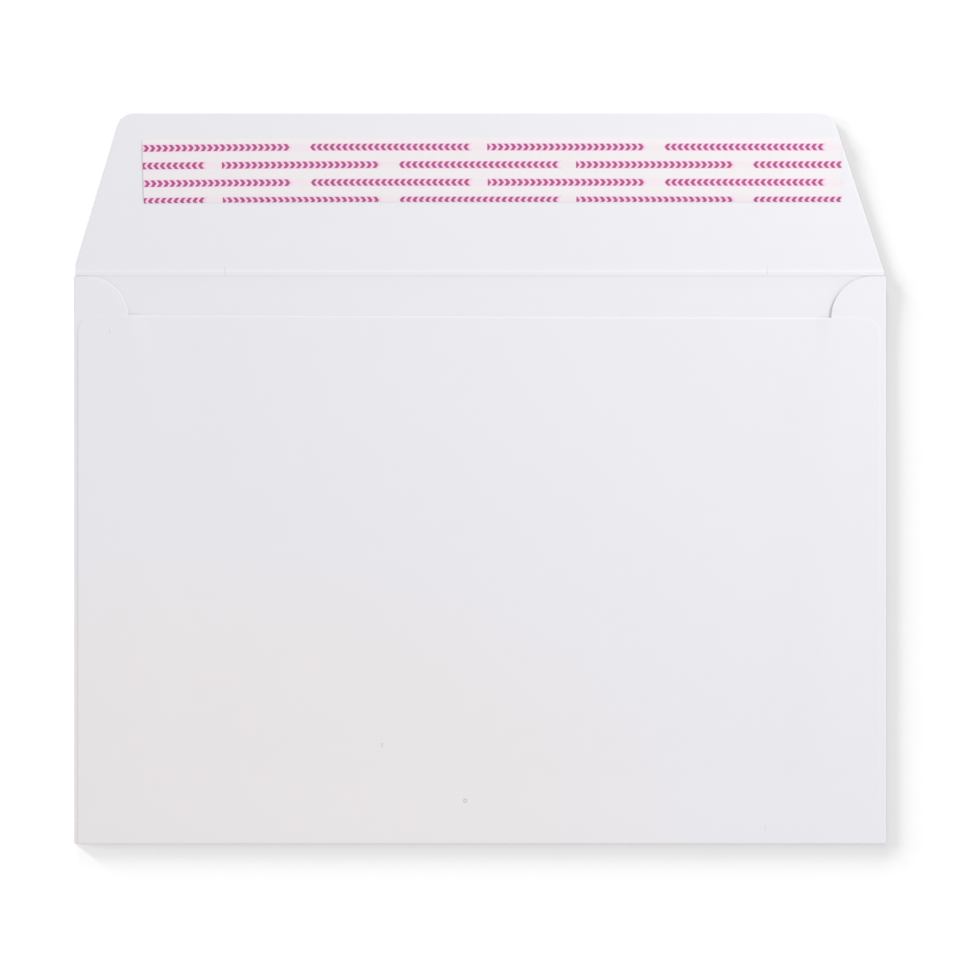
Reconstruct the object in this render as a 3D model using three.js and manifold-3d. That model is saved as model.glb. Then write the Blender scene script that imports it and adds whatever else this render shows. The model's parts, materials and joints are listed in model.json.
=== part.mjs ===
// A paper envelope with its seal flap open, lying on its front panel.
//
// The pocket is one sheet of paper. It is cut flat to one outline, then folded over at both sides and at
// the bottom, so that the back panel lies on two narrow side flaps and is gummed to them. The seal flap
// runs on past the crease at the top. It carries a strip of adhesive under a liner that peels off.
//
// Millimetres. +Z is up, +Y runs from the pocket to the flap, and the origin is the middle of the front
// panel's outer face.

import * as THREE from "three";
import { toCreasedNormals } from "three/addons/utils/BufferGeometryUtils.js";
import Module from "manifold-3d";

// Pocket
const WIDTH = 229; // over the side folds
const HEIGHT = 161; // bottom fold to flap crease
const PAPER = 0.16; // thickness of the sheet
const FOLD_GAP = 0.4; // room between the plies inside a side fold
const POCKET_GAP = 0.2; // room between the front and back panels in the middle of the pocket
const SETTLE_RUN = 20; // how far in from the side flaps and the bottom fold the back panel sinks to it

// Back panel
const THROAT_LEFT = 11.75; // flap crease down to each end of the panel's free edge
const THROAT_RIGHT = 12.6;
const BACK_INSET_LEFT = 0.54; // how far each cut side stands in from the side fold line
const BACK_INSET_RIGHT = 1.24;
const BACK_CORNER = 4.8; // radius of the free corners

// Side flaps, between the front and back panels
const SIDE_FLAP = 15.4; // width from the outside of the side fold
const SIDE_CORNER = 11.3; // radius of the corner that shows in the throat
const SIDE_TOP = 1.2; // flap crease down to the top edge
const SIDE_FOOT = 0.5; // bottom fold line up to the foot
const SIDE_FOOT_SLANT = 4; // how far the foot climbs towards the free edge
const GUM = 0.05; // film between side flap and back panel
const GUM_MARGIN = 3; // bare paper around the gum

// Seal flap
const FLAP = 45; // crease to top edge
const FLAP_LEAN_LEFT = 12.84; // how far each side leans in from the side fold line
const FLAP_LEAN_RIGHT = 14.84;
const FLAP_SHOULDER_LEFT = 2.5; // crease up to where the left side starts to lean
const FLAP_CORNER = 4.6; // radius of the top corners
const CREASE_LIFT = 0.5; // height of the crease above the table
const CREASE_RUN = 60; // length of pocket that rises to it
const FLAP_LIFT = 0.45; // height of the flap's top edge above the table
const CREASE_BEAD = 0.2; // height of the bead pressed along the crease
const CREASE_BEAD_WIDTH = 2.6;

// Liner and adhesive on the seal flap
const LINER = 0.08; // thickness
const LINER_WIDTH = 18;
const LINER_TOP = 6.9; // flap's top edge down to the liner
const LINER_END_LEFT = 19.5; // each end of the liner, in from the outside of the side fold
const LINER_END_RIGHT = 12.5;
const LINER_TURN = 0.13; // degrees that the liner sits askew, right end up
const ADHESIVE = 0.1; // thickness
const ADHESIVE_EDGE = 3; // dry liner along the adhesive's long edges
const ADHESIVE_END = 2; // dry liner past its ends, to start the peel
const BOND_GAP = 0.02; // clearance between flap, adhesive and liner

// Finishes
const WHITE_PAPER = { color: 0xeeedf2, roughness: 0.85, metalness: 0 };
const CLEAR_ADHESIVE = { color: 0xe9e3d0, roughness: 0.3, metalness: 0 };
const RELEASE_PAPER = { color: 0xf3eff0, roughness: 0.45, metalness: 0 };

// Facets
const COLUMNS = 16; // across the panels
const ROWS = 10; // up the panels
const FOLD_STEPS = 8; // round a fold
const CREASE_STEPS = 3; // up the rise to the crease, and over each half of its bead
const SETTLE_STEPS = 4; // down to the settled middle of the back panel
const ROUND_STEPS = 4; // pairs of facets round a corner
const CUT_CLEARANCE = 1.5; // least distance from an even cut to one that has a place of its own
const SHARP_ANGLE = 0.6; // radians between facets that are shaded with a sharp edge
const SAME_POINT = 1e-5; // points closer than this are one
const NO_AREA = 1e-6; // cells smaller than this are left out

// Places that follow from the sizes
const creaseY = HEIGHT / 2;
const flapTopY = creaseY + FLAP;
const shoulderLeftY = creaseY + FLAP_SHOULDER_LEFT;
const throatLeftY = creaseY - THROAT_LEFT;
const throatRightY = creaseY - THROAT_RIGHT;
const throatTopY = Math.max(throatLeftY, throatRightY);
const sideTopY = creaseY - SIDE_TOP;
const sideRadius = FOLD_GAP / 2 + PAPER;
const bottomRadius = sideRadius + (PAPER + GUM) / 2;
const sideArc = Math.PI * (sideRadius - PAPER / 2);
const bottomArc = Math.PI * (bottomRadius - PAPER / 2);
const foldX = WIDTH / 2 - sideRadius;
const foldY = bottomRadius - HEIGHT / 2;
const sideEdgeX = WIDTH / 2 - SIDE_FLAP;
const sideFootY = foldY + SIDE_FOOT;
const backLeft = BACK_INSET_LEFT - foldX;
const backRight = foldX - BACK_INSET_RIGHT;
const flapLeft = FLAP_LEAN_LEFT - foldX;
const flapRight = foldX - FLAP_LEAN_RIGHT;
const linerLeft = LINER_END_LEFT - WIDTH / 2;
const linerRight = WIDTH / 2 - LINER_END_RIGHT;

// Where a side flap's x and the back panel's y lie on the flat sheet
const sideU = (x) => foldX + sideArc + (foldX - x);
const backV = (y) => foldY - bottomArc - (y - foldY);

// How far the back panel sinks where no side flap holds it up
function settle(x, y) {
  const depth = 2 * (bottomRadius - PAPER) - POCKET_GAP;
  const fromSide = THREE.MathUtils.smoothstep(sideEdgeX - Math.abs(x), 0, SETTLE_RUN);
  const fromBottom = THREE.MathUtils.smoothstep(y - foldY, 0, SETTLE_RUN);
  return depth * fromSide * fromBottom;
}

// Height of the sheet above the table on both sides of the flap crease
function creaseLift(y) {
  const offset = y - creaseY;
  const pocket = CREASE_LIFT * THREE.MathUtils.clamp(1 + offset / CREASE_RUN, 0, 1) ** 2;
  const flap = THREE.MathUtils.lerp(CREASE_LIFT, FLAP_LIFT, offset / FLAP);
  const bead = THREE.MathUtils.clamp(offset / CREASE_BEAD_WIDTH, -0.5, 0.5);
  return (offset > 0 ? flap : pocket) + CREASE_BEAD * Math.cos(Math.PI * bead) ** 2;
}

// Reach beyond a fold line, and height, of paper that has gone `past` it round a fold of this outer radius.
// depth is 0 on the sheet's outer face and PAPER on its inner face.
function turnOver(past, radius, depth) {
  const middle = radius - PAPER / 2;
  const angle = Math.min(past / middle, Math.PI);
  const flat = Math.max(past - Math.PI * middle, 0);
  return {
    reach: (radius - depth) * Math.sin(angle) - flat,
    height: radius - (radius - depth) * Math.cos(angle),
  };
}

// Place on the folded envelope of a point of the flat sheet
function fold(u, v, depth) {
  const pastSide = Math.abs(u) - foldX;
  const pastBottom = foldY - v;
  const place = new THREE.Vector3(u, v, depth);
  if (pastSide > 0) {
    const { reach, height } = turnOver(pastSide, sideRadius, depth);
    place.x = Math.sign(u) * (foldX + reach);
    place.z = height;
  } else if (pastBottom > 0) {
    const { reach, height } = turnOver(pastBottom, bottomRadius, depth);
    place.y = foldY - reach;
    place.z = height - settle(place.x, place.y);
  }
  place.z += creaseLift(place.y);
  return place;
}

// Closed outline through corners given anticlockwise as [u, v, radius]
function roundedOutline(corners) {
  const points = corners.map(([u, v]) => new THREE.Vector2(u, v));
  const path = new THREE.Path();
  corners.forEach(([u, v, radius], i) => {
    if (!radius) {
      path.lineTo(u, v);
      return;
    }
    const before = points.at(i - 1).clone().sub(points[i]).normalize();
    const after = points[(i + 1) % points.length].clone().sub(points[i]).normalize();
    const halfAngle = Math.acos(before.dot(after)) / 2;
    const inward = before.clone().add(after).normalize();
    const centre = points[i].clone().addScaledVector(inward, radius / Math.sin(halfAngle));
    const start = new THREE.Vector2(-before.y, before.x).angle();
    const end = new THREE.Vector2(after.y, -after.x).angle();
    path.absarc(centre.x, centre.y, radius, start, end, false);
  });
  return path.getPoints(ROUND_STEPS);
}

// A rectangle, turned about its middle
function rectangle(left, right, low, high, degrees) {
  const middle = new THREE.Vector2((left + right) / 2, (low + high) / 2);
  const angle = THREE.MathUtils.degToRad(degrees);
  const corners = [[left, low], [right, low], [right, high], [left, high]];
  return corners.map(([x, y]) => new THREE.Vector2(x, y).rotateAround(middle, angle));
}

// The part of an outline that lies on the inward side of a straight line
function trim(outline, through, inward) {
  const distance = (point) => point.clone().sub(through).dot(inward);
  const kept = [];
  outline.forEach((here, i) => {
    const next = outline[(i + 1) % outline.length];
    const a = distance(here);
    const b = distance(next);
    if (a >= 0) kept.push(here);
    if (a * b < 0) kept.push(here.clone().lerp(next, a / (a - b)));
  });
  return kept;
}

// The part of an outline between two parallel cuts, across the way that `up` points
function between(outline, up, low, high) {
  const above = trim(outline, up.clone().multiplyScalar(low), up);
  return trim(above, up.clone().multiplyScalar(high), up.clone().negate());
}

// The cells that columns and rows of cuts make of an outline
function cutCells(outline, columns, rows) {
  const across = new THREE.Vector2(1, 0);
  const along = new THREE.Vector2(0, 1);
  const cells = columns.slice(1).flatMap((right, c) => {
    const strip = between(outline, across, columns[c], right);
    return rows.slice(1).map((high, r) => between(strip, along, rows[r], high));
  });
  return cells.filter((cell) => cell.length > 2 && THREE.ShapeUtils.area(cell) > NO_AREA);
}

// Triangles of the cells, on points that neighbours share. Every cell is split from its corner of lowest
// rank, so that plies that lie on each other are split along the same diagonals and stay parallel.
function splitCells(cells, rank) {
  const points = [];
  const numbers = new Map();
  const numberOf = (point) => {
    const key = `${Math.round(point.x / SAME_POINT)} ${Math.round(point.y / SAME_POINT)}`;
    if (!numbers.has(key)) numbers.set(key, points.push(point) - 1);
    return numbers.get(key);
  };
  const triangles = cells.flatMap((cell) => {
    const ring = cell.map(numberOf).filter((number, i, all) => number !== all.at(i - 1));
    const ranks = ring.map((number) => rank(points[number]));
    const first = ranks.indexOf(Math.min(...ranks));
    const fan = [...ring.slice(first), ...ring.slice(0, first)];
    return fan.slice(2).map((last, i) => [fan[0], fan[i + 1], last]);
  });
  return { points, triangles };
}

// Edges that only one triangle has
function openEdges(triangles) {
  const edges = new Map();
  for (const [a, b, c] of triangles) {
    for (const [from, to] of [[a, b], [b, c], [c, a]]) {
      if (!edges.delete(`${to} ${from}`)) edges.set(`${from} ${to}`, [from, to]);
    }
  }
  return [...edges.values()];
}

// Closed solid of a flat outline that is cut into cells, given a thickness, and put in place point by point
function sheetSolid(outline, columns, rows, thickness, placed) {
  const rank = (point) => {
    const place = placed(point.x, point.y, 0);
    return place.x + place.y;
  };
  const { points, triangles } = splitCells(cutCells(outline, columns, rows), rank);
  const upper = points.length;
  const faces = triangles.flatMap(([a, b, c]) => [a, c, b, a + upper, b + upper, c + upper]);
  for (const [from, to] of openEdges(triangles)) {
    faces.push(from, to, to + upper, from, to + upper, from + upper);
  }
  const depths = [0, thickness];
  const places = depths.flatMap((depth) => points.map((point) => placed(point.x, point.y, depth)));
  return new THREE.BufferGeometry().setFromPoints(places).setIndex(faces);
}

const ascending = (a, b) => a - b;
const steps = (count) => Array.from({ length: count }, (_, i) => (i + 1) / count);

// Even cuts from one end to the other, kept clear of the ones that have a place of their own
function cuts(own, from, to, count) {
  const even = steps(count).map((step) => THREE.MathUtils.lerp(from, to, step));
  const clear = even.filter((cut) => own.every((other) => Math.abs(cut - other) > CUT_CLEARANCE));
  return [...own, ...clear].sort(ascending);
}

// Cuts of the front panel and its crease, from fold line to fold line
const creaseCuts = steps(CREASE_STEPS).flatMap((step) => [
  creaseY - CREASE_RUN * step,
  creaseY - (CREASE_BEAD_WIDTH / 2) * step,
  creaseY + (CREASE_BEAD_WIDTH / 2) * step,
]);
const settleCuts = steps(SETTLE_STEPS).map((step) => SETTLE_RUN * step);
const settleColumns = settleCuts.flatMap((run) => [run - sideEdgeX, sideEdgeX - run]);
const settleRows = settleCuts.map((run) => foldY + run);
const ownColumns = [-foldX, backLeft, -sideEdgeX, ...settleColumns, sideEdgeX, backRight, foldX];
const ownRows = [foldY, sideFootY, ...settleRows, throatTopY, sideTopY, creaseY, ...creaseCuts];
const panelColumns = cuts(ownColumns, -foldX, foldX, COLUMNS);
const panelRows = cuts(ownRows, foldY, creaseY, ROWS);

// Cuts round a side fold and over the side flap, in line with the back panel's
function sideColumns(side) {
  const round = steps(FOLD_STEPS).map((step) => foldX + sideArc * step);
  const onFlap = panelColumns.map((x) => side * x).filter((x) => x > sideEdgeX && x < foldX);
  return [...round, ...onFlap.map(sideU), sideU(sideEdgeX)].map((u) => side * u);
}

// Cuts round the bottom fold and up the back panel, in line with the front panel's
function bottomRows() {
  const round = steps(FOLD_STEPS).map((step) => foldY - bottomArc * step);
  const onBack = panelRows.filter((y) => y > foldY && y <= throatTopY);
  return [...round, ...onBack.map(backV)];
}

const sheetColumns = [...sideColumns(-1), ...panelColumns, ...sideColumns(1)].sort(ascending);
const sheetRows = [...bottomRows(), ...panelRows, flapTopY].sort(ascending);

// Outline of the flat sheet, from the seal flap's top right corner round to the crease's right end
const sideEdgeU = sideU(sideEdgeX);
const sideCorner = Math.min(SIDE_CORNER, foldX - sideEdgeX);
const sheetOutline = roundedOutline([
  [flapRight, flapTopY, FLAP_CORNER],
  [flapLeft, flapTopY, FLAP_CORNER],
  [-foldX, shoulderLeftY],
  [-foldX, sideTopY],
  [-sideEdgeU, sideTopY, sideCorner],
  [-sideEdgeU, sideFootY + SIDE_FOOT_SLANT],
  [-foldX, sideFootY],
  [-foldX, foldY],
  [backLeft, foldY],
  [backLeft, backV(throatLeftY), BACK_CORNER],
  [backRight, backV(throatRightY), BACK_CORNER],
  [backRight, foldY],
  [foldX, foldY],
  [foldX, sideFootY],
  [sideEdgeU, sideFootY + SIDE_FOOT_SLANT],
  [sideEdgeU, sideTopY, sideCorner],
  [foldX, sideTopY],
  [foldX, creaseY],
]);

// Seam gum, from the middle of a side flap's paper to the middle of the back panel's
function gumSolid(side) {
  const edges = [side * (sideEdgeX + GUM_MARGIN), side * (foldX - GUM_MARGIN)];
  const [left, right] = edges.sort(ascending);
  const low = sideFootY + SIDE_FOOT_SLANT + GUM_MARGIN;
  const high = Math.min(throatLeftY, throatRightY) - GUM_MARGIN;
  const outline = rectangle(left, right, low, high, 0);
  const base = 2 * sideRadius - PAPER / 2;
  const placed = (x, y, depth) => new THREE.Vector3(x, y, base + depth + creaseLift(y));
  return sheetSolid(outline, panelColumns, panelRows, PAPER + GUM, placed);
}

// A strip along the inner face of the seal flap, trimmed where it would pass the flap's slanted sides
function flapStrip(margin, end, base, thickness) {
  const high = flapTopY - LINER_TOP - margin;
  const low = flapTopY - LINER_TOP - LINER_WIDTH + margin;
  const whole = rectangle(linerLeft + end, linerRight - end, low, high, LINER_TURN);
  const rightward = new THREE.Vector2(FLAP - FLAP_SHOULDER_LEFT, -FLAP_LEAN_LEFT).normalize();
  const leftward = new THREE.Vector2(-FLAP, -FLAP_LEAN_RIGHT).normalize();
  const fromLeft = trim(whole, new THREE.Vector2(-foldX, shoulderLeftY), rightward);
  const outline = trim(fromLeft, new THREE.Vector2(foldX, creaseY), leftward);
  const placed = (x, y, depth) => new THREE.Vector3(x, y, creaseLift(y) + PAPER + base + depth);
  return sheetSolid(outline, [-foldX, foldX], [creaseY, flapTopY], thickness, placed);
}

const wasm = await Module();
wasm.setup();

function toSolid(geometry) {
  const vertProperties = new Float32Array(geometry.attributes.position.array);
  const triVerts = new Uint32Array(geometry.index.array);
  return new wasm.Manifold(new wasm.Mesh({ numProp: 3, vertProperties, triVerts }));
}

function toGeometry(solid) {
  const mesh = solid.getMesh();
  const geometry = new THREE.BufferGeometry();
  geometry.setAttribute("position", new THREE.BufferAttribute(mesh.vertProperties, 3));
  geometry.setIndex(new THREE.BufferAttribute(mesh.triVerts, 1));
  return geometry;
}

function piece(name, geometry, finish) {
  const material = new THREE.MeshStandardMaterial(finish);
  const mesh = new THREE.Mesh(toCreasedNormals(geometry, SHARP_ANGLE), material);
  mesh.name = name;
  return mesh;
}

// The folded sheet, with its two gummed seams
function envelopeSheet() {
  const sheet = toSolid(sheetSolid(sheetOutline, sheetColumns, sheetRows, PAPER, fold));
  const gummed = sheet.add(toSolid(gumSolid(-1))).add(toSolid(gumSolid(1)));
  return piece("envelope_sheet", toGeometry(gummed), WHITE_PAPER);
}

function sealAdhesive() {
  return piece("seal_adhesive", flapStrip(ADHESIVE_EDGE, ADHESIVE_END, BOND_GAP, ADHESIVE), CLEAR_ADHESIVE);
}

function peelLiner() {
  const base = BOND_GAP + ADHESIVE + BOND_GAP;
  return piece("peel_liner", flapStrip(0, 0, base, LINER), RELEASE_PAPER);
}

const envelope = new THREE.Group();
envelope.name = "envelope";
envelope.add(envelopeSheet(), sealAdhesive(), peelLiner());

export default envelope;
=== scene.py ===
# %% [markdown]
# # A white paper envelope with its flap open
#
# The envelope lies on its front panel. One sheet of paper makes the front panel, two side flaps, the back
# panel and the seal flap, and a printed liner covers a strip of adhesive on the seal flap. In this lesson the
# sheet is folded from a flat plane the way an envelope maker folds it, the two strips are laid on the flap,
# and each of them gets a finish that is worked out by shader nodes.
#
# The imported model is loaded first. It is the frame that every new piece is fitted to, so the overall sizes
# are read from it.

# %% Load the frame and read its sizes
import json
from math import atan2, copysign, cos, hypot, pi, radians, sin, tan

import bmesh
import bpy
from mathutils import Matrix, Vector


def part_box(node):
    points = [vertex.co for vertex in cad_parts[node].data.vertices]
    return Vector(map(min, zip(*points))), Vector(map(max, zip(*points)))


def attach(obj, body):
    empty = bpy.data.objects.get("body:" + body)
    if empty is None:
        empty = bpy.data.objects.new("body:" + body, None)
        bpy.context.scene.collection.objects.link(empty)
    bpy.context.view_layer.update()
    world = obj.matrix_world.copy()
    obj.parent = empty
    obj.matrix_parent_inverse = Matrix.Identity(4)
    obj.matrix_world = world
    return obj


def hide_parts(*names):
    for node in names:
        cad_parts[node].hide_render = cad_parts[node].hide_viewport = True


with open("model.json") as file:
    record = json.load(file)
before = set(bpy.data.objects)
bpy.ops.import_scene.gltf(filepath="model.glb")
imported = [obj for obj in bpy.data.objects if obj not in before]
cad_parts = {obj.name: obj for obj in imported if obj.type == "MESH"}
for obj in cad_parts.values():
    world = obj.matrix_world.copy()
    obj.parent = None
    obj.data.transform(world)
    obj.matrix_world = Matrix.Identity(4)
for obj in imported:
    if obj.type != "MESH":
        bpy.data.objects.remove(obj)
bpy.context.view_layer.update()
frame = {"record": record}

MM = 0.001  # Blender works in metres here, and paper is measured in millimetres

sheet_low, sheet_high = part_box("envelope_sheet")
half_width = sheet_high.x
crease_y = -sheet_low.y  # the origin is midway between the crease and the bottom fold
flap_top_y = sheet_high.y
flap = flap_top_y - crease_y
print(f"envelope {2 * half_width / MM:.1f} mm wide, pocket {2 * crease_y / MM:.1f} mm high")
print(f"flap {flap / MM:.1f} mm")

# %% [markdown]
# ## Camera
#
# The photograph looks straight down and shows no perspective at all, so the camera hangs far above the table
# with a long lens. A short lens close by would make the raised edges of the paper lean outwards. The lens is
# worked out from the width of table that the picture shows.

# %% Hang the camera over the envelope
VIEW_WIDTH = 270.97 * MM
VIEW_CENTRE_Y = 22.14 * MM
CAMERA_HEIGHT = 1.5  # metres, as is the next
CLIP_END = 15  # further than any edge of the table

bpy.ops.object.select_all(action="DESELECT")
bpy.ops.object.camera_add(location=(0, VIEW_CENTRE_Y, CAMERA_HEIGHT), rotation=(0, 0, 0))
camera = bpy.context.object
camera.data.lens = camera.data.sensor_width * CAMERA_HEIGHT / VIEW_WIDTH
camera.data.clip_end = CLIP_END
bpy.context.scene.camera = camera
print(f"camera with a {camera.data.lens:.0f} mm lens, {CAMERA_HEIGHT} m up")

# %% [markdown]
# ## Helpers for modelling by hand
#
# Modelling by hand means picking some edges with the mouse and then using a tool on them. A script picks by
# place instead: pick() selects only what passes a test. cut() slices all of the mesh along a plane, which is
# the scripted way to add the loops of edges that a smooth bend needs, and flat_plane() lays out a new sheet.

# %% Helpers to pick and to cut
NEAR = 0.001 * MM


def pick(kind, test):
    """Selects only the vertices, edges or faces whose corners all pass the test, in edit mode."""
    bpy.ops.mesh.select_mode(type=kind)
    bpy.ops.mesh.select_all(action="DESELECT")
    mesh = bmesh.from_edit_mesh(bpy.context.edit_object.data)
    for element in getattr(mesh, kind.lower() + "s"):
        corners = [element] if kind == "VERT" else element.verts
        if all(test(corner.co) for corner in corners):
            element.select_set(True)
    bmesh.update_edit_mesh(bpy.context.edit_object.data)


def cut(place, normal, **options):
    """Slices the whole mesh along a plane, in edit mode."""
    bpy.ops.mesh.select_all(action="SELECT")
    bpy.ops.mesh.bisect(plane_co=place, plane_no=normal, threshold=NEAR, **options)


def flat_plane(name, left, right, low, high):
    """Adds a plane of this size on the table, with its place in its mesh, and opens it in edit mode."""
    bpy.ops.object.select_all(action="DESELECT")
    bpy.ops.mesh.primitive_plane_add(size=1, location=((left + right) / 2, (low + high) / 2, 0))
    piece = bpy.context.object
    piece.name = name
    piece.scale = (right - left, high - low, 1)
    bpy.ops.object.transform_apply(location=True, rotation=False, scale=True)
    bpy.ops.object.mode_set(mode="EDIT")
    return piece


# %% [markdown]
# ## Front panel
#
# The sheet could be cut from a box, but folding a plane keeps every panel joined to the next one just as the
# paper is. The plane is the front panel, between the lines where the folds begin. It is the sheet's outer
# face, which lies on the table. The side folds reach down past the bottom fold line, and the back panel will
# be folded up between them, so a shallow notch as wide as the back panel is cut along the bottom: slice off
# a strip, slice its ends at a lean, delete its middle, and dissolve the points that the slices left at the
# sides.

# %% Front panel
PAPER = 0.16 * MM
SIDE_RADIUS = 0.36 * MM  # outside of a side fold
BOTTOM_RADIUS = 0.465 * MM  # outside of the bottom fold, which wraps the side flaps too
BACK_INSET_LEFT = 0.72 * MM  # from the lines where the side folds begin
BACK_INSET_RIGHT = 1.24 * MM
SIDE_FOOT = 0.15 * MM  # bottom of the pocket up to the ends of the side folds
NOTCH_LEAN = 0.2  # how far the notch's ends lean out, for each unit down

fold_x = half_width - SIDE_RADIUS
fold_y = sheet_low.y + BOTTOM_RADIUS
back_left = BACK_INSET_LEFT - fold_x
back_right = fold_x - BACK_INSET_RIGHT
side_foot_y = sheet_low.y + SIDE_FOOT

sheet = flat_plane("folded_sheet", -fold_x, fold_x, side_foot_y, crease_y)
cut((0, fold_y, 0), (0, 1, 0))
for x, lean in ((back_left, -NOTCH_LEAN), (back_right, NOTCH_LEAN)):
    pick("FACE", lambda p: p.y < fold_y + NEAR)
    bpy.ops.mesh.bisect(plane_co=(x, fold_y, 0), plane_no=(1, lean, 0), threshold=NEAR)
pick("FACE", lambda p: p.y < fold_y + NEAR and abs(p.x) < fold_x - NEAR)
bpy.ops.mesh.delete(type="FACE")
pick("VERT", lambda p: abs(p.y - fold_y) < NEAR and abs(p.x) > fold_x - NEAR)
bpy.ops.mesh.dissolve_verts()
print(f"front panel: {len(bmesh.from_edit_mesh(sheet.data).verts)} points")

# %% [markdown]
# ## Seal flap
#
# The seal flap is extruded from the crease. Its top corners are drawn in, the right one more than the left,
# and rounded with a vertex bevel. On the left the flap goes straight up for a short way before it starts to
# lean.

# %% Seal flap
FLAP_LEAN_LEFT = 12.84 * MM  # how far each top corner is drawn in
FLAP_LEAN_RIGHT = 14.84 * MM
FLAP_SHOULDER_LEFT = 2.5 * MM  # crease up to where the left side starts to lean
FLAP_CORNER = 4.6 * MM
CORNER_STEPS = 12
FLAP_SIDES = (  # side, lean and shoulder
    (-1, FLAP_LEAN_LEFT, FLAP_SHOULDER_LEFT),
    (1, FLAP_LEAN_RIGHT, 0),
)


def round_corner(test, radius, angle=pi / 2):
    """Rounds the corner that passes the test, where two edges meet at this angle."""
    pick("VERT", test)
    reach = radius / tan(angle / 2)
    bpy.ops.mesh.bevel(offset=reach, segments=CORNER_STEPS, affect="VERTICES")


pick("EDGE", lambda p: abs(p.y - crease_y) < NEAR)
for rise in (FLAP_SHOULDER_LEFT, flap - FLAP_SHOULDER_LEFT):
    bpy.ops.mesh.extrude_region_move(TRANSFORM_OT_translate={"value": (0, rise, 0)})
for side, lean, shoulder in FLAP_SIDES:
    for y in (crease_y + FLAP_SHOULDER_LEFT, flap_top_y):
        pick("VERT", lambda p: abs(p.y - y) < NEAR and p.x * side > 0)
        inward = lean * (y - crease_y - shoulder) / (flap - shoulder)
        bpy.ops.transform.translate(value=(-side * inward, 0, 0))
    at_corner = lambda p: p.y > flap_top_y - NEAR and p.x * side > 0
    round_corner(at_corner, FLAP_CORNER, pi / 2 + atan2(lean, flap - shoulder))
print(f"with the flap: {len(bmesh.from_edit_mesh(sheet.data).verts)} points")

# %% [markdown]
# ## Side flaps
#
# Each side flap is folded in before the back panel comes up over it. Spin turns the panel's edge half a turn
# round the fold's own axis, which makes a true round fold instead of a knife edge. The edge that comes out of
# the spin is extruded inwards. Its top corner shows in the throat as a large quarter round, and its foot is
# cut at a slant so that it keeps clear of the bottom fold.

# %% Side flaps
SIDE_FLAP = 15.4 * MM  # from the outside of the fold
SIDE_CORNER = 11.6 * MM
SIDE_TOP = 0.9 * MM  # crease down to the top edge
SIDE_FOOT_SLANT = 1 * MM
FOLD_STEPS = 14

side_top_y = crease_y - SIDE_TOP
side_edge_x = half_width - SIDE_FLAP
side_flap_z = 2 * SIDE_RADIUS

cut((0, side_top_y, 0), (0, 1, 0))
for side in (-1, 1):
    pick("EDGE", lambda p: abs(p.x - side * fold_x) < NEAR and p.y < side_top_y + NEAR)
    axle = (side * fold_x, 0, SIDE_RADIUS)
    bpy.ops.mesh.spin(steps=FOLD_STEPS, angle=pi, center=axle, axis=(0, side, 0))
    inward = side_edge_x - fold_x
    bpy.ops.mesh.extrude_region_move(TRANSFORM_OT_translate={"value": (side * inward, 0, 0)})
    on_edge = lambda p: p.x * side < side_edge_x + NEAR and p.z > side_flap_z - NEAR and p.x * side > 0
    pick("VERT", lambda p: on_edge(p) and p.y < 0)
    bpy.ops.transform.translate(value=(0, SIDE_FOOT_SLANT, 0))
    round_corner(lambda p: on_edge(p) and p.y > 0, SIDE_CORNER)
print(f"with the side flaps: {len(bmesh.from_edit_mesh(sheet.data).verts)} points")

# %% [markdown]
# ## Back panel
#
# The back panel is spun and extruded from the notch in the same way. It was cut a little narrower than the
# pocket so that it never sticks out past the side folds, and the cut isn't quite central or square: its free
# edge drops slightly to the right. The folding roller pressed the bottom fold, so the half circle of the spin
# is made squarer by a power curve. The panel's two free corners are rounded.

# %% Back panel
THROAT_LEFT = 11.75 * MM  # crease down to each end of the free edge
THROAT_RIGHT = 12.6 * MM
BACK_CORNER = 4.8 * MM
FOLD_POWER = 0.5  # 1 leaves the half circle as it is

throat_left_y = crease_y - THROAT_LEFT
throat_right_y = crease_y - THROAT_RIGHT
back_z = 2 * BOTTOM_RADIUS


def press_fold(point):
    """Makes the half circle of the bottom fold squarer."""
    out = (fold_y - point.y) / BOTTOM_RADIUS
    up = point.z / BOTTOM_RADIUS - 1
    point.y = fold_y - BOTTOM_RADIUS * out**FOLD_POWER
    point.z = BOTTOM_RADIUS * (1 + copysign(abs(up) ** FOLD_POWER, up))


pick("EDGE", lambda p: abs(p.y - fold_y) < NEAR and p.z < NEAR)
axle = (0, fold_y, BOTTOM_RADIUS)
bpy.ops.mesh.spin(steps=FOLD_STEPS, angle=pi, center=axle, axis=(1, 0, 0))
for corner in bmesh.from_edit_mesh(sheet.data).verts:
    beside_notch = min(abs(corner.co.x - back_left), abs(corner.co.x - back_right)) < NEAR
    if beside_notch and corner.co.y < fold_y - NEAR and corner.co.z > NEAR:
        press_fold(corner.co)
pick("EDGE", lambda p: abs(p.y - fold_y) < NEAR and p.z > back_z - NEAR)
bpy.ops.mesh.extrude_region_move(TRANSFORM_OT_translate={"value": (0, throat_left_y - fold_y, 0)})
pick("VERT", lambda p: p.z > back_z - NEAR and p.y > 0 and p.x > 0)
bpy.ops.transform.translate(value=(0, throat_right_y - throat_left_y, 0))
for side in (-1, 1):
    round_corner(lambda p: p.z > back_z - NEAR and p.y > 0 and p.x * side > 0, BACK_CORNER)
print(f"with the back panel: {len(bmesh.from_edit_mesh(sheet.data).verts)} points")

# %% [markdown]
# ## Rings along the cut edges
#
# The knife that cut the sheet pressed its edges down a little. That turned edge is what catches the light
# along the back panel and the flap, so it is real shape here and not only shading. Inset lays narrow rings of
# faces inside each outline, which can be moved down later. A bevel would round the edge as well, but only
# within the thickness of the paper, and the turned edge is several times as wide.

# %% Rings along the cut edges
EDGE_RUN = 0.6 * MM  # width of the turned edge
EDGE_RINGS = 3

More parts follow.
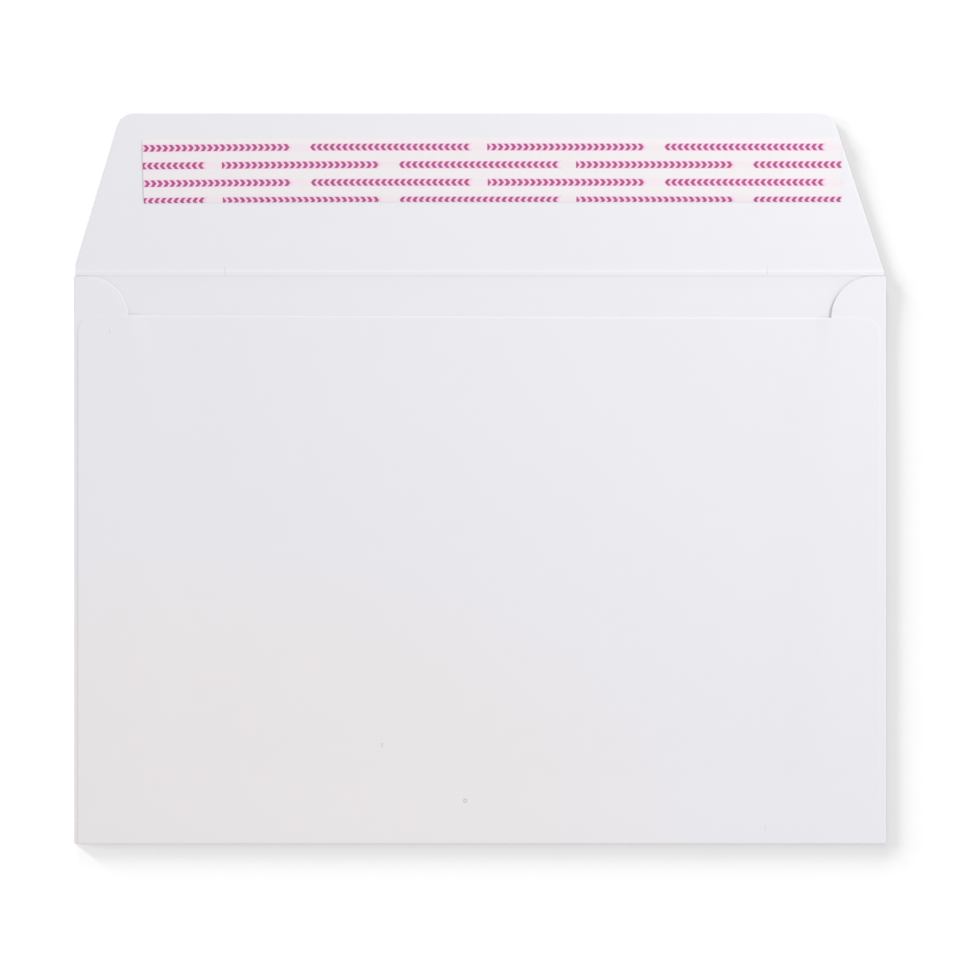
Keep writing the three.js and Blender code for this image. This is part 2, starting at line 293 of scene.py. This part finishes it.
back_panel = lambda p: p.z > back_z - NEAR
left_side_flap = lambda p: abs(p.z - side_flap_z) < NEAR and p.x < 0
right_side_flap = lambda p: abs(p.z - side_flap_z) < NEAR and p.x > 0
seal_flap = lambda p: p.y > crease_y - NEAR
for panel in (back_panel, left_side_flap, right_side_flap, seal_flap):
    pick("FACE", panel)
    for _ in range(EDGE_RINGS):
        bpy.ops.mesh.inset(thickness=EDGE_RUN / EDGE_RINGS, depth=0)
print(f"ringed sheet: {len(bmesh.from_edit_mesh(sheet.data).faces)} faces")

# %% [markdown]
# ## Loops for the bends
#
# Inside its rings each panel is still one large face, which can't bend. Slicing the sheet in even columns and
# rows gives all the plies the same loops, one above the other, so that they bend together and never cross.
# The crease gets closer rows, because the bead that the scoring rule pressed there is under two millimetres
# wide. There are closer rows above the throat too, where the side flaps come out from under the back panel,
# and closer columns beside the side flaps, where the back panel sinks. Last, all the faces are made to agree
# on which side is out. The plane is the sheet's outer face, so on the table it has to look down.

# %% Slice the sheet in columns and rows
COLUMN_GAP = 4 * MM
ROW_GAP = 4.2 * MM
THROAT_ROW_GAP = 0.5 * MM
THROAT_REACH = 3 * MM
SINK_COLUMN_GAP = 1 * MM
SINK_REACH = 6 * MM
BEAD_ROW_GAP = 0.1 * MM
BEAD_WIDTH = 1.92 * MM
BEAD_SHIFT = 0.09 * MM  # the bead is a trace below the crease


def even_cuts(low, high, gap):
    """Places that share out a length evenly, about this gap apart, without its ends."""
    count = round((high - low) / gap)
    return [low + (high - low) * i / count for i in range(1, count)]


bead_y = crease_y - BEAD_SHIFT
bead_low, bead_high = bead_y - BEAD_WIDTH / 2, bead_y + BEAD_WIDTH / 2
columns = even_cuts(-fold_x, fold_x, COLUMN_GAP)
for x in [side_edge_x] + even_cuts(side_edge_x - SINK_REACH, side_edge_x, SINK_COLUMN_GAP):
    columns += [-x, x]
for x in columns:
    cut((x, 0, 0), (1, 0, 0))
rows = even_cuts(fold_y, bead_low, ROW_GAP) + [bead_low]
rows += even_cuts(throat_left_y, throat_left_y + THROAT_REACH, THROAT_ROW_GAP)
rows += even_cuts(bead_low, bead_high, BEAD_ROW_GAP) + [bead_high]
rows += even_cuts(bead_high, flap_top_y, ROW_GAP)
for y in rows:
    cut((0, y, 0), (0, 1, 0))
bpy.ops.mesh.select_all(action="SELECT")
bpy.ops.mesh.remove_doubles(threshold=NEAR)
bpy.ops.mesh.normals_make_consistent(inside=False)
pick("FACE", lambda p: p.z < NEAR)
lowest = [face for face in bmesh.from_edit_mesh(sheet.data).faces if face.select]
if lowest[0].normal.z > 0:
    bpy.ops.mesh.select_all(action="SELECT")
    bpy.ops.mesh.flip_normals()
bpy.ops.object.mode_set(mode="OBJECT")
print(f"sliced sheet: {len(sheet.data.polygons)} faces")

# %% [markdown]
# ## The lie of the paper
#
# The empty pocket lies almost flat. The back panel is held up by the folds and the side flaps, and settles
# between them until it nearly touches the front panel, most quickly along the throat where it is free. The
# left side flap sags towards its edge, and towards the crease the side folds are pressed flatter; the back
# panel follows both. The whole sheet rises a little towards the crease, and the scored crease stands up as a
# fine bead. Formulas move every point up or down by its own amount, which is more exact here than dragging
# with proportional editing, and the strips on the flap use lie() again later.

# %% How the sheet lies
POCKET_GAP = 0.2 * MM  # between the panels in the middle of the pocket
SETTLE_RUN = 20 * MM  # how far in from the folds and side flaps the back panel sinks to it
THROAT_RUN = 5 * MM  # the same along the throat
LEFT_SAG = 0.12 * MM  # at the left side flap's free edge
PINCH = 0.2 * MM  # how much flatter the side folds are at the crease
PINCH_RUN = 50 * MM
CREASE_LIFT = 0.42 * MM
CREASE_RUN = 40 * MM  # length of pocket that rises to the crease
FLAP_LIFT = 0.45 * MM  # height of the flap's top edge
BEAD = 0.12 * MM
BEAD_RAMP = 0.56 * MM  # width of each of its slopes


def clamp(value, low=0.0, high=1.0):
    """Keeps a value between two limits."""
    return max(low, min(high, value))


def smooth(value, run):
    """Goes smoothly from 0 to 1 as the value goes from 0 to the end of its run."""
    share = clamp(value / run)
    return share * share * (3 - 2 * share)


def throat_y(x):
    """Where the back panel's free edge runs."""
    share = (x - back_left) / (back_right - back_left)
    return throat_left_y + (throat_right_y - throat_left_y) * share


def pinch(y):
    """How much flatter the side folds are at this height of the pocket."""
    return PINCH * smooth(y - crease_y + PINCH_RUN, PINCH_RUN)


def sag(x, y):
    """How far a side flap goes down, and the back panel with it."""
    share = clamp((fold_x - abs(x)) / (fold_x - side_edge_x))
    left = LEFT_SAG * smooth(-x, SETTLE_RUN) * smooth(y - fold_y, SETTLE_RUN)
    return pinch(y) * (1 - share) + left * share


def settle(x, y):
    """How far the back panel sinks, over the side flaps and where no side flap holds it up."""
    depth = 2 * (BOTTOM_RADIUS - PAPER) - POCKET_GAP
    run = THROAT_RUN + (SETTLE_RUN - THROAT_RUN) * smooth(throat_y(x) - y, SETTLE_RUN)
    free = smooth(side_edge_x - abs(x), run)
    return sag(x, y) * (1 - free) + depth * free * smooth(y - fold_y, SETTLE_RUN)


def lie(y):
    """Height of the sheet above the table on both sides of the crease."""
    offset = y - crease_y
    pocket = CREASE_LIFT * clamp(1 + offset / CREASE_RUN) ** 2
    open_flap = CREASE_LIFT + (FLAP_LIFT - CREASE_LIFT) * offset / flap
    bead = BEAD * smooth(BEAD_WIDTH / 2 - abs(y - bead_y), BEAD_RAMP)
    return (open_flap if offset > 0 else pocket) + bead


print(f"crease {lie(crease_y) / MM:.2f} mm up, back panel settled by {settle(0, 0) / MM:.2f} mm")

# %% [markdown]
# ## Turned edges
#
# The turned edges need to know how far a point is from the nearest cut. Round a corner that is the corner's
# radius less the distance from its centre, and beside the flap's slanted sides it is the distance to a line.
# The turn fades out where a cut runs into a fold, because the fold holds the paper up there. It is deepest
# along the throat, where no side flap lies under the back panel's free edge. The right side flap wasn't
# pressed down: its corner stands up above the throat and shades the paper beside it.

# %% How far the knife pressed the edges down
BACK_EDGE_TURN = 0.03 * MM  # where the back panel lies on the side flaps
THROAT_EDGE_TURN = 0.15 * MM
LEFT_EDGE_TURN = 0.12 * MM
RIGHT_LIFT = 0.2 * MM
RIGHT_LIFT_RUN = 4 * MM
THROAT_LIFT_FADE = 2 * MM  # from the throat to where the corner is fully lifted
FOLD_LIFT_FADE = 14 * MM  # the same from the side fold
FLAP_EDGE_TURN = 0.06 * MM
EDGE_FADE = 4 * MM  # from a fold to where the edge is fully turned
THROAT_FADE = 1.5 * MM  # the same from a side flap along the throat


def turned(distance, run=EDGE_RUN):
    """Share of the turn that is left at this distance in from a cut edge."""
    return (1 - clamp(distance / run)) ** 2


def from_corner(across, along, radius):
    """Distance in from a rounded corner, for a point this far in from its two sides."""
    return radius - hypot(max(radius - across, 0), max(radius - along, 0))


def from_flap_side(x, y):
    """Distance in from the nearer slanted side of the seal flap."""
    distances = []
    for side, lean, shoulder in FLAP_SIDES:
        rise = flap - shoulder
        leaned = lean * (y - crease_y - shoulder)
        distances.append(((fold_x - side * x) * rise - leaned) / hypot(rise, lean))
    return min(distances)


def drop(point):
    """How far a point of the folded sheet goes down, from settling and from the knife."""
    x, y = point.x, point.y
    if back_panel(point):
        edge = from_corner(min(x - back_left, back_right - x), throat_y(x) - y, BACK_CORNER)
        free = smooth(side_edge_x - abs(x), THROAT_FADE)
        turn = BACK_EDGE_TURN + (THROAT_EDGE_TURN - BACK_EDGE_TURN) * free
        return settle(x, y) + turn * turned(edge) * smooth(y - fold_y, EDGE_FADE)
    edge = from_corner(abs(x) - side_edge_x, side_top_y - y, SIDE_CORNER)
    if left_side_flap(point):
        return sag(x, y) + LEFT_EDGE_TURN * turned(edge) * smooth(fold_x - abs(x), EDGE_FADE)
    if right_side_flap(point):
        shown = smooth(y - throat_left_y, THROAT_LIFT_FADE) * smooth(fold_x - x, FOLD_LIFT_FADE)
        return sag(x, y) - RIGHT_LIFT * turned(edge, RIGHT_LIFT_RUN) * shown
    if abs(x) > fold_x + NEAR:  # the side folds
        return pinch(y) * point.z / side_flap_z
    return FLAP_EDGE_TURN * turned(from_flap_side(x, y)) * smooth(y - crease_y, EDGE_FADE)


for vertex in sheet.data.vertices:
    vertex.co.z += lie(vertex.co.y) - drop(vertex.co)
print(f"highest point {max(v.co.z for v in sheet.data.vertices) / MM:.2f} mm up")

# %% [markdown]
# ## Thickness and smoothing
#
# Solidify gives the folded surface the thickness of the paper, on its inner side. Smoothing by angle then
# keeps the folds and the turned edges round and the cut faces crisp. A Bevel on the cut edges would be finer
# than anything the eye can see here, so it is left out.

# %% Thickness and smoothing
SHARP = radians(35)
AGAINST_NORMALS = -1  # the two ways that Solidify can go
ALONG_NORMALS = 1


def finish_paper(piece, thickness, offset):
    """Gives a piece of paper its thickness and its smoothing."""
    bpy.ops.object.select_all(action="DESELECT")
    piece.select_set(True)
    bpy.context.view_layer.objects.active = piece
    solidify = piece.modifiers.new("solidify", "SOLIDIFY")
    solidify.thickness = thickness
    solidify.offset = offset
    bpy.ops.object.modifier_apply(modifier=solidify.name)
    bpy.ops.object.shade_smooth_by_angle(angle=SHARP)
    print(f"{piece.name}: {len(piece.data.polygons)} faces")


finish_paper(sheet, PAPER, AGAINST_NORMALS)
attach(sheet, "root")
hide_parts("envelope_sheet")

# %% [markdown]
# ## Adhesive and liner
#
# The adhesive is a thin film and the liner a strip of release paper on top of it, wider and longer so that
# it can be gripped. Both were laid by a machine, and the liner's right corner was trimmed with the flap. Each
# starts as a plane with its own UV map, because the print on the liner has to follow the strip where it
# bends. The left part of the strip wandered a little and its end was cut at a lean. The liner's two long
# rims, which have no adhesive under them, bend down to the flap.

# %% Lay the strips on the flap
LINER = 0.08 * MM
LINER_WIDTH = 18 * MM
LINER_TOP = 6.9 * MM  # flap's top edge down to the liner
LINER_END_LEFT = 19.2 * MM  # each end, in from the outside of the side fold
LINER_END_RIGHT = 12.5 * MM
ADHESIVE = 0.1 * MM
ADHESIVE_EDGE = 3 * MM
ADHESIVE_END = 2 * MM
BOND_GAP = 0.02 * MM
END_LEAN = 0.5 * MM  # how far in the left end's lower corner is
WANDER = 0.42 * MM  # how far down the left end has wandered
WANDER_START = -17 * MM
RIM = 2 * MM  # width of each of the liner's long rims
RIM_DROP = 0.13 * MM
STRIP_GAP = 1 * MM

liner_left = LINER_END_LEFT - half_width
liner_right = half_width - LINER_END_RIGHT
liner_high = flap_top_y - LINER_TOP
liner_low = liner_high - LINER_WIDTH


def flap_strip(name, margin, end, base, rim_drop):
    """Lays a strip this far above the flap, trimmed to its slanted sides, with the long rims bent down."""
    left, right = liner_left + end, liner_right - end
    low, high = liner_low + margin, liner_high - margin
    strip = flat_plane(name, left, right, low, high)
    pick("VERT", lambda p: p.x < left + NEAR and p.y < low + NEAR)
    bpy.ops.transform.translate(value=(END_LEAN, 0, 0))
    for side, lean, shoulder in FLAP_SIDES:
        outward = (side * (flap - shoulder), lean, 0)
        cut((side * fold_x, crease_y + shoulder, 0), outward, clear_outer=True)
    for x in even_cuts(left, right, STRIP_GAP):
        cut((x, 0, 0), (1, 0, 0))
    for y in even_cuts(low, high, STRIP_GAP):
        cut((0, y, 0), (0, 1, 0))
    bpy.ops.object.mode_set(mode="OBJECT")
    for vertex in strip.data.vertices:
        x, y = vertex.co.xy
        wandered = clamp((WANDER_START - x) / (WANDER_START - liner_left))
        rim = 1 - smooth(min(y - low, high - y), RIM)
        vertex.co.y = y - WANDER * wandered**2
        vertex.co.z = lie(vertex.co.y) + PAPER + base - rim_drop * rim
    return strip


adhesive = flap_strip("adhesive_strip", ADHESIVE_EDGE, ADHESIVE_END, BOND_GAP, 0)
finish_paper(adhesive, ADHESIVE, ALONG_NORMALS)
liner = flap_strip("liner_strip", 0, 0, BOND_GAP + ADHESIVE + BOND_GAP, RIM_DROP)
finish_paper(liner, LINER, ALONG_NORMALS)
for piece, node_name, slot in (
    (adhesive, "seal_adhesive", "adhesive_film"),
    (liner, "peel_liner", "release_paper"),
):
    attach(piece, "root")
    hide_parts(node_name)

# %% [markdown]
# ## Helpers for shader nodes
#
# A material is a graph of nodes, and building one by hand means adding nodes and dragging wires. node() does
# both at once, and the other helpers are the kinds of node that come up again and again: sums, blends of two
# colours, noise, relief and roughness. Every pattern is worked out from the piece's own coordinates or its UV
# map, so it stays on the paper.

# %% Helpers for shader nodes
FIRST_COLOUR = 6  # the Mix node's sockets for colours
SECOND_COLOUR = 7
MIXED_COLOUR = 2


def new_material(name):
    """A new material, with its node tree and its shader."""
    material = bpy.data.materials.new(name)
    material.use_nodes = True
    return material, material.node_tree, material.node_tree.nodes["Principled BSDF"]


def node(tree, kind, inputs=(), **settings):
    """Adds a shader node. inputs holds pairs of a socket's name or number, and a value or another socket."""
    made = tree.nodes.new("ShaderNode" + kind)
    for name, value in settings.items():
        setattr(made, name, value)
    for name, value in inputs:
        if isinstance(value, bpy.types.NodeSocket):
            tree.links.new(value, made.inputs[name])
        else:
            made.inputs[name].default_value = value
    return made


def calc(tree, operation, *values):
    """A Math node on sockets and numbers."""
    return node(tree, "Math", enumerate(values), operation=operation).outputs[0]


def blend(tree, share, first, second, way="MIX"):
    """Goes from the first colour to the second as share goes from 0 to 1, or multiplies them as it does."""
    inputs = (("Factor", share), (FIRST_COLOUR, first), (SECOND_COLOUR, second))
    return node(tree, "Mix", inputs, data_type="RGBA", blend_type=way).outputs[MIXED_COLOUR]


def noise(tree, place, scale, detail=3):
    """Soft noise whose grains are about 1 / scale metres across."""
    inputs = (("Vector", place), ("Scale", scale), ("Detail", detail))
    return node(tree, "TexNoise", inputs).outputs["Fac"]


def relief(tree, pattern, height, *under):
    """Bumps that follow a pattern up to this height, on top of another relief if there is one."""
    inputs = [("Height", pattern), ("Strength", 1.0), ("Distance", height)]
    inputs += [("Normal", lower) for lower in under]
    return node(tree, "Bump", inputs).outputs[0]


def roughen(tree, shader, pattern, span):
    """Makes the shader's roughness follow a pattern, from the first value of a span to the second."""
    inputs = (("Value", pattern), ("To Min", span[0]), ("To Max", span[1]))
    tree.links.new(node(tree, "MapRange", inputs).outputs[0], shader.inputs["Roughness"])


def slot_colour(slot):
    """The record's colour for a material slot."""
    found = next(m for m in frame["record"]["materials"] if m["slot"] == slot)
    return (*found["base_color"], 1)


def shade(colour, by):
    """A colour with each of its parts made darker."""
    return (*(c * b for c, b in zip(colour, by)), 1)


print("paper colour", slot_colour("envelope_paper"))

# %% [markdown]
# ## Envelope paper
#
# Good envelope paper is a bluish white and dead smooth at arm's length. Close up its fibres clump into faint
# clouds a few millimetres across, and its surface has a fine tooth. Both are noise on the object's
# coordinates: a broad one for the clouds, which shifts the colour by about one part in a hundred, and a fine
# one stretched along the grain for bump. Towards the lower left a warm cast of light is painted into the
# colour. A few marks belong to the paper too, so they are set at their places: two specks and a small ring
# of grey on the back panel, and some short ticks that stand up a little on the back panel and across the
# crease.

# %% Envelope paper
CLOUD_SCALE = 160
FIBRE_SCALE = 1400
FIBRE_DETAIL = 4
GRAIN_STRETCH = (1, 2.2, 1)
TOOTH = 0.006 * MM
CLOUD_SHADE = (0.985, 0.982, 0.978)
PAPER_ROUGHNESS = (0.7, 0.86)
PAPER_SPECULAR = 0.3
SPOT_BEGINS = 1.3  # where a spot's soft rim begins and where it is full, as shares of its half size
SPOT_FULL = 0.6
# Where a warm cast of light is painted into the paper's colour, and the tint that it gives.
PAINTED_WARM_LIGHT_PLACE = (-80, -70)  # in millimetres, as are the half sizes and all the marks
PAINTED_WARM_LIGHT_SIZE = (125, 65)
PAINTED_WARM_LIGHT_TINT = (1.022, 0.996, 0.969, 1)
SPECKS = (  # place and half size
    ((-27.66, -52.36), (0.42, 0.28)),
    ((-27.66, -53.07), (0.42, 0.2)),
)
RING_PLACE = (-4.2, -68.35)
RING_OUTER = 0.6
RING_INNER = 0.3
SPECK_GREY = (0.69, 0.68, 0.68, 1)
RING_GREY = (0.58, 0.58, 0.54, 1)
TICKS = (  # place and half size
    ((-104.27, 64.2), (0.24, 0.7)),
    ((80.7, -75.65), (0.24, 1.1)),
    ((-71.8, 81.4), (0.2, 1.2)),
    ((81.2, 81.4), (0.2, 1.2)),
)
TICK_HEIGHT = 0.08 * MM
UPPER_PLY = 0.45 * MM  # the back panel and the crease are higher than this


def spot(tree, place, centre, size):
    """1 inside an oval spot and 0 outside, with a soft rim. Its place and size are in millimetres."""
    scale = (1 / (size[0] * MM), 1 / (size[1] * MM), 0)
    shift = (-centre[0] / size[0], -centre[1] / size[1], 0)
    inputs = (("Vector", place), ("Location", shift), ("Scale", scale))
    moved = node(tree, "Mapping", inputs).outputs[0]
    reach = node(tree, "VectorMath", ((0, moved),), operation="LENGTH").outputs["Value"]
    inputs = (("Value", reach), ("From Min", SPOT_BEGINS), ("From Max", SPOT_FULL))
    return node(tree, "MapRange", inputs, interpolation_type="SMOOTHSTEP").outputs[0]


def envelope_paper():
    """White paper with clouds, a painted warm cast of light at the lower left, marks and a fine tooth."""
    material, tree, shader = new_material("envelope_paper")
    place = node(tree, "TexCoord").outputs["Object"]
    white = slot_colour("envelope_paper")
    clouds = noise(tree, place, CLOUD_SCALE)
    colour = blend(tree, clouds, shade(white, CLOUD_SHADE), white)
    # Painted light: a warm cast of the lamps is painted into the colour towards the lower left.
    painted_warm_light = spot(tree, place, PAINTED_WARM_LIGHT_PLACE, PAINTED_WARM_LIGHT_SIZE)
    colour = blend(tree, painted_warm_light, colour, PAINTED_WARM_LIGHT_TINT, "MULTIPLY")

    height = node(tree, "SeparateXYZ", ((0, place),)).outputs["Z"]
    upper = calc(tree, "GREATER_THAN", height, UPPER_PLY)
    for centre, size in SPECKS:
        mark = calc(tree, "MULTIPLY", spot(tree, place, centre, size), upper)
        colour = blend(tree, mark, colour, SPECK_GREY)
    outer = spot(tree, place, RING_PLACE, (RING_OUTER, RING_OUTER))
    inner = spot(tree, place, RING_PLACE, (RING_INNER, RING_INNER))
    ring = calc(tree, "MULTIPLY", calc(tree, "SUBTRACT", outer, inner), upper)
    colour = blend(tree, ring, colour, RING_GREY)
    tree.links.new(colour, shader.inputs["Base Color"])

    grain = node(tree, "Mapping", (("Vector", place), ("Scale", GRAIN_STRETCH))).outputs[0]
    fibres = noise(tree, grain, FIBRE_SCALE, FIBRE_DETAIL)
    tooth = relief(tree, fibres, TOOTH)
    ticks = 0
    for centre, size in TICKS:
        ticks = calc(tree, "ADD", spot(tree, place, centre, size), ticks)
    ticks = calc(tree, "MULTIPLY", ticks, upper)
    tree.links.new(relief(tree, ticks, TICK_HEIGHT, tooth), shader.inputs["Normal"])
    roughen(tree, shader, fibres, PAPER_ROUGHNESS)
    shader.inputs["Specular IOR Level"].default_value = PAPER_SPECULAR
    return material


sheet.data.materials.append(envelope_paper())
print("envelope paper on", sheet.name)

# %% [markdown]
# ## Release paper with its print
#
# The liner is a thin satin paper, a warmer white than the envelope. Its print is four rows of marks, each row
# broken into blocks 45 mm long with 5 mm between them, and every second row is set half a block along. The
# marks are chevrons, pointing right in one block and left in the next. Math nodes draw them from the strip's
# UV map: the distance along the strip, wrapped round at every block, gives the chevrons, and the distance
# from a row's middle gives their slant. The ink has spread a little, so a pale pink halo fills each block and
# reaches just past its marks, and a fainter blush runs on between the blocks.

# %% Release paper with its print
ROW_PITCH = 4.985  # millimetres, as are all sizes of the print
FIRST_ROW = 2.51  # below the liner's top edge
MARK_HALF = 0.93
BLOCK = 45.0
BLOCK_PITCH = 50.0
BLOCK_START = -2.7  # from the liner's left end, on the first row
MARK_PITCH = 1.8
MARK_SHARE = 0.56  # ink in each pitch
MARK_SLANT = 0.8
HALO_REACH = 0.2
INK = (0.42, 0.028, 0.19, 1)
HALO = (0.94, 0.62, 0.805, 1)
HALO_SHARE = 0.8
BLUSH = (0.9, 0.78, 0.84, 1)
BLUSH_SHARE = 0.6
WEAR_SCALE = 2500
INK_LEAST = 0.65  # of the ink, where it is most worn
INK_WEAR = 0.5  # how much the noise adds to that
LINER_CLOUD_SCALE = 300
LINER_FIBRE_SCALE = 1200
LINER_TOOTH = 0.002 * MM
LINER_SHADE = (0.955, 0.955, 0.945)
LINER_ROUGHNESS = (0.42, 0.55)
LINER_SPECULAR = 0.4


def release_paper():
    """Satin paper with rows of chevrons printed on it."""
    material, tree, shader = new_material("release_paper")
    uv = node(tree, "TexCoord").outputs["UV"]
    length = (liner_right - liner_left) / MM
    width = LINER_WIDTH / MM
    inputs = (("Vector", uv), ("Location", (0, width, 0)), ("Scale", (length, -width, 1)))
    split = node(tree, "SeparateXYZ", ((0, node(tree, "Mapping", inputs).outputs[0]),))
    along, down = split.outputs["X"], split.outputs["Y"]

    rows_down = calc(tree, "DIVIDE", calc(tree, "SUBTRACT", down, FIRST_ROW - ROW_PITCH / 2), ROW_PITCH)
    row = calc(tree, "FLOOR", rows_down)
    off_row = calc(tree, "MULTIPLY", calc(tree, "SUBTRACT", calc(tree, "FRACT", rows_down), 0.5), ROW_PITCH)
    off_row = calc(tree, "ABSOLUTE", off_row)
    in_row = calc(tree, "LESS_THAN", off_row, MARK_HALF)

    stagger = calc(tree, "MULTIPLY", calc(tree, "FLOORED_MODULO", row, 2), BLOCK_PITCH / 2)
    shifted = calc(tree, "SUBTRACT", calc(tree, "SUBTRACT", along, BLOCK_START), stagger)
    blocks_along = calc(tree, "DIVIDE", shifted, BLOCK_PITCH)
    block = calc(tree, "FLOOR", blocks_along)
    in_pitch = calc(tree, "MULTIPLY", calc(tree, "FRACT", blocks_along), BLOCK_PITCH)
    way = calc(tree, "SUBTRACT", 1, calc(tree, "MULTIPLY", calc(tree, "FLOORED_MODULO", block, 2), 2))
    slant = calc(tree, "MULTIPLY", calc(tree, "MULTIPLY", off_row, MARK_SLANT), way)
    swept = calc(tree, "ADD", in_pitch, slant)
    marks = calc(tree, "LESS_THAN", calc(tree, "FRACT", calc(tree, "DIVIDE", swept, MARK_PITCH)), MARK_SHARE)
    begun = calc(tree, "GREATER_THAN", swept, 0)
    inside = calc(tree, "MULTIPLY", begun, calc(tree, "LESS_THAN", swept, BLOCK))
    ink = calc(tree, "MULTIPLY", calc(tree, "MULTIPLY", marks, inside), in_row)
    pale = calc(tree, "MULTIPLY", calc(tree, "SUBTRACT", 1, inside), in_row)
    halo = calc(tree, "MULTIPLY", inside, calc(tree, "LESS_THAN", off_row, MARK_HALF + HALO_REACH))

    place = node(tree, "TexCoord").outputs["Object"]
    clouds = noise(tree, place, LINER_CLOUD_SCALE)
    white = slot_colour("release_paper")
    colour = blend(tree, clouds, shade(white, LINER_SHADE), white)
    colour = blend(tree, calc(tree, "MULTIPLY", pale, BLUSH_SHARE), colour, BLUSH)
    colour = blend(tree, calc(tree, "MULTIPLY", halo, HALO_SHARE), colour, HALO)
    worn = calc(tree, "MULTIPLY_ADD", noise(tree, place, WEAR_SCALE), INK_WEAR, INK_LEAST)
    colour = blend(tree, calc(tree, "MULTIPLY", ink, calc(tree, "MINIMUM", worn, 1)), colour, INK)
    tree.links.new(colour, shader.inputs["Base Color"])

    fibres = noise(tree, place, LINER_FIBRE_SCALE)
    tree.links.new(relief(tree, fibres, LINER_TOOTH), shader.inputs["Normal"])
    roughen(tree, shader, fibres, LINER_ROUGHNESS)
    shader.inputs["Specular IOR Level"].default_value = LINER_SPECULAR
    return material


liner.data.materials.append(release_paper())
print("release paper on", liner.name)

# %% [markdown]
# ## Adhesive film
#
# The film is out of sight between flap and liner until the liner is peeled off. It is a pale glue gone
# slightly yellow, with fine streaks from the roller that laid it down. Noise that is squeezed hard across the
# strip makes the streaks, and they vary the gloss too.

# %% Adhesive film
STREAK_SCALE = (60, 1500, 60)
STREAK_SHADE = (0.9, 0.88, 0.8)
GLUE_ROUGHNESS = (0.2, 0.4)


def adhesive_film():
    """Pale glue with streaks along the strip."""
    material, tree, shader = new_material("adhesive_film")
    place = node(tree, "TexCoord").outputs["Object"]
    stretched = node(tree, "Mapping", (("Vector", place), ("Scale", STREAK_SCALE))).outputs[0]
    streaks = noise(tree, stretched, 1)
    glue = slot_colour("adhesive_film")
    tree.links.new(blend(tree, streaks, shade(glue, STREAK_SHADE), glue), shader.inputs["Base Color"])
    roughen(tree, shader, streaks, GLUE_ROUGHNESS)
    return material


adhesive.data.materials.append(adhesive_film())
print("adhesive film on", adhesive.name)

# %% [markdown]
# ## Table
#
# The table is a plain sheet of light grey card, far larger than the view, and its lamps are strong enough to
# make it look white. One plane is enough for it, with the faintest mottle.

# %% Table
TABLE_SIZE = 12  # metres
TABLE_CLOUD_SCALE = 40
TABLE_TONE = (0.465, 0.467, 0.468, 1)
TABLE_SHADE = (0.99, 0.99, 0.99)
TABLE_ROUGHNESS = 0.9
TABLE_SPECULAR = 0.1


def table_card():
    """Light grey card with a faint mottle."""
    material, tree, shader = new_material("table_card")
    place = node(tree, "TexCoord").outputs["Object"]
    clouds = noise(tree, place, TABLE_CLOUD_SCALE)
    colour = blend(tree, clouds, shade(TABLE_TONE, TABLE_SHADE), TABLE_TONE)
    tree.links.new(colour, shader.inputs["Base Color"])
    shader.inputs["Roughness"].default_value = TABLE_ROUGHNESS
    shader.inputs["Specular IOR Level"].default_value = TABLE_SPECULAR
    return material


bpy.ops.object.select_all(action="DESELECT")
bpy.ops.mesh.primitive_plane_add(size=TABLE_SIZE)
table = bpy.context.object
table.name = "table"
table.data.materials.append(table_card())
print("table", TABLE_SIZE, "m wide")

# %% [markdown]
# ## Light
#
# A pale sky lights everything evenly. One soft lamp at the upper right lights only the envelope, low enough
# to draw out the crease and the turned edges, and close enough that the paper darkens towards the lower left.
# The table has four lamps of its own: one straight above, and three very low ones spread round the upper
# left, so that the envelope's shadow falls to the right and below and fades out evenly, at the corners too.
# One low lamp alone would leave two of the corners without a shadow.

# %% Lamps and sky
KEY_HEADING = radians(45)
KEY_HEIGHT = radians(27)
KEY_DISTANCE = 0.85  # metres, as are the next two
KEY_SIZE = 0.2
SUN_DISTANCE = 1
KEY_WATTS = 2.95
KEY_COLOUR = (0.956, 0.97, 1.0)
TABLE_LAMP_COLOUR = (1.0, 0.994, 0.995)
LOW_HEIGHT = radians(5)
LOW_SPREAD = radians(10)
TABLE_LAMPS = (  # name, heading, height, spread and strength
    ("top_lamp", radians(0), radians(90), radians(20), 2.39),
    ("back_low_lamp", radians(100), LOW_HEIGHT, LOW_SPREAD, 4.64),
    ("middle_low_lamp", radians(140), LOW_HEIGHT, LOW_SPREAD, 13.05),
    ("left_low_lamp", radians(170), LOW_HEIGHT, LOW_SPREAD, 6.77),
)
SKY_COLOUR = (0.785, 0.78, 0.781, 1)


def add_lamp(name, kind, heading, height, distance, lit):
    """Adds a lamp that shines on the middle of the envelope and lights only the given pieces."""
    place = distance * Vector((cos(heading) * cos(height), sin(heading) * cos(height), sin(height)))
    bpy.ops.object.light_add(type=kind, location=place)
    lamp = bpy.context.object
    lamp.name = name
    lamp.rotation_euler = (-place).to_track_quat("-Z", "Y").to_euler()
    lamp.light_linking.receiver_collection = bpy.data.collections.new(f"lit_by_{name}")
    for piece in lit:
        lamp.light_linking.receiver_collection.objects.link(piece)
    return lamp.data


key = add_lamp("key_lamp", "AREA", KEY_HEADING, KEY_HEIGHT, KEY_DISTANCE, (sheet, adhesive, liner))
key.size = KEY_SIZE
key.energy = KEY_WATTS
key.color = KEY_COLOUR
for name, heading, height, spread, strength in TABLE_LAMPS:
    sun = add_lamp(name, "SUN", heading, height, SUN_DISTANCE, (table,))
    sun.energy = strength
    sun.angle = spread
    sun.color = TABLE_LAMP_COLOUR

sky = bpy.data.worlds.new("pale_sky")
sky.use_nodes = True
sky.node_tree.nodes["Background"].inputs["Color"].default_value = SKY_COLOUR
bpy.context.scene.world = sky
bpy.context.scene.view_settings.view_transform = "Standard"
